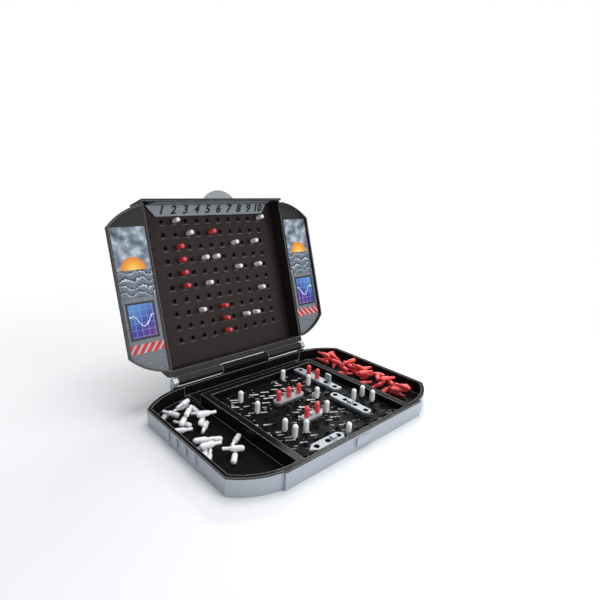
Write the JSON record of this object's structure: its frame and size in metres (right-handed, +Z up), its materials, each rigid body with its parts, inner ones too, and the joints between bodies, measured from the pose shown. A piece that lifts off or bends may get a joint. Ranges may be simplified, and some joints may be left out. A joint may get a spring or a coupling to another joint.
{
  "type": "fleet guessing game case",
  "caption": "Folding two-board game case: silver base with an ocean grid and peg wells, hinged black lid with a target board, grey ships and red and white pegs.",
  "frame": {"origin": "middle of the underside of the base, on the surface the case stands on", "axes": "+Z up, +X to the player's right, -Y towards the player; the lid hinges at +Y and stands open"},
  "size_m": [0.2474, 0.2445, 0.1999],
  "materials": {
    "silver_plastic": "silver moulded plastic",
    "black_plastic": "black moulded plastic, satin",
    "sea_black_plastic": "black plastic moulded with ripples",
    "pin_steel": "plain drawn wire",
    "board_black_plastic": "black plastic, fine grain",
    "grey_plastic": "grey moulded plastic",
    "printed_label": null,
    "ship_grey_plastic": "light grey moulded plastic",
    "white_plastic": "white moulded plastic",
    "red_plastic": "red moulded plastic"
  },
  "bodies": {
    "base": {"base_shell": "silver_plastic", "base_tray": "black_plastic", "ocean_grid": "sea_black_plastic", "hinge_pin": "pin_steel"},
    "lid": {"lid_shell": "black_plastic", "target_board": "board_black_plastic", "number_plate": "grey_plastic", "left_label": "printed_label", "right_label": "printed_label", "finger_tab": "grey_plastic"},
    "carrier": {"carrier": "ship_grey_plastic"},
    "battleship": {"battleship": "ship_grey_plastic"},
    "cruiser": {"cruiser": "ship_grey_plastic"},
    "submarine": {"submarine": "ship_grey_plastic"},
    "destroyer": {"destroyer": "ship_grey_plastic"},
    "carrier_hits": {"carrier_hit_pegs": "red_plastic"},
    "cruiser_hits": {"cruiser_hit_pegs": "red_plastic"},
    "destroyer_hits": {"destroyer_hit_pegs": "red_plastic"},
    "ocean_misses": {"ocean_miss_pegs": "white_plastic"},
    "target_misses": {"target_miss_pegs": "white_plastic"},
    "target_hits": {"target_hit_pegs": "red_plastic"},
    "spare_whites": {"spare_white_pegs": "white_plastic"},
    "spare_reds": {"spare_red_pegs": "red_plastic"}
  },
  "joints": [
    {"name": "lid_hinge", "type": "hinge", "parent": "base", "child": "lid", "pos_m": [0, 0.084, 0.0212], "axis": [-1, 0, 0], "range_deg": [-107, 0]},
    {"name": "carrier_lift", "type": "slide", "parent": "base", "child": "carrier", "axis": [0, 0, 1], "range_m": [0, 0.03]},
    {"name": "battleship_lift", "type": "slide", "parent": "base", "child": "battleship", "axis": [0, 0, 1], "range_m": [0, 0.03]},
    {"name": "cruiser_lift", "type": "slide", "parent": "base", "child": "cruiser", "axis": [0, 0, 1], "range_m": [0, 0.03]},
    {"name": "submarine_lift", "type": "slide", "parent": "base", "child": "submarine", "axis": [0, 0, 1], "range_m": [0, 0.03]},
    {"name": "destroyer_lift", "type": "slide", "parent": "base", "child": "destroyer", "axis": [0, 0, 1], "range_m": [0, 0.03]},
    {"name": "carrier_pegs_pull", "type": "slide", "parent": "carrier", "child": "carrier_hits", "axis": [0, 0, 1], "range_m": [0, 0.02]},
    {"name": "cruiser_pegs_pull", "type": "slide", "parent": "cruiser", "child": "cruiser_hits", "axis": [0, 0, 1], "range_m": [0, 0.02]},
    {"name": "destroyer_pegs_pull", "type": "slide", "parent": "destroyer", "child": "destroyer_hits", "axis": [0, 0, 1], "range_m": [0, 0.02]},
    {"name": "ocean_pegs_pull", "type": "slide", "parent": "base", "child": "ocean_misses", "axis": [0, 0, 1], "range_m": [0, 0.02]},
    {"name": "white_target_pegs_pull", "type": "slide", "parent": "lid", "child": "target_misses", "axis": [0, -0.9563, 0.2924], "range_m": [0, 0.014]},
    {"name": "red_target_pegs_pull", "type": "slide", "parent": "lid", "child": "target_hits", "axis": [0, -0.9563, 0.2924], "range_m": [0, 0.014]},
    {"name": "white_spares_lift", "type": "slide", "parent": "base", "child": "spare_whites", "axis": [0, 0, 1], "range_m": [0, 0.04]},
    {"name": "red_spares_lift", "type": "slide", "parent": "base", "child": "spare_reds", "axis": [0, 0, 1], "range_m": [0, 0.04]}
  ]
}
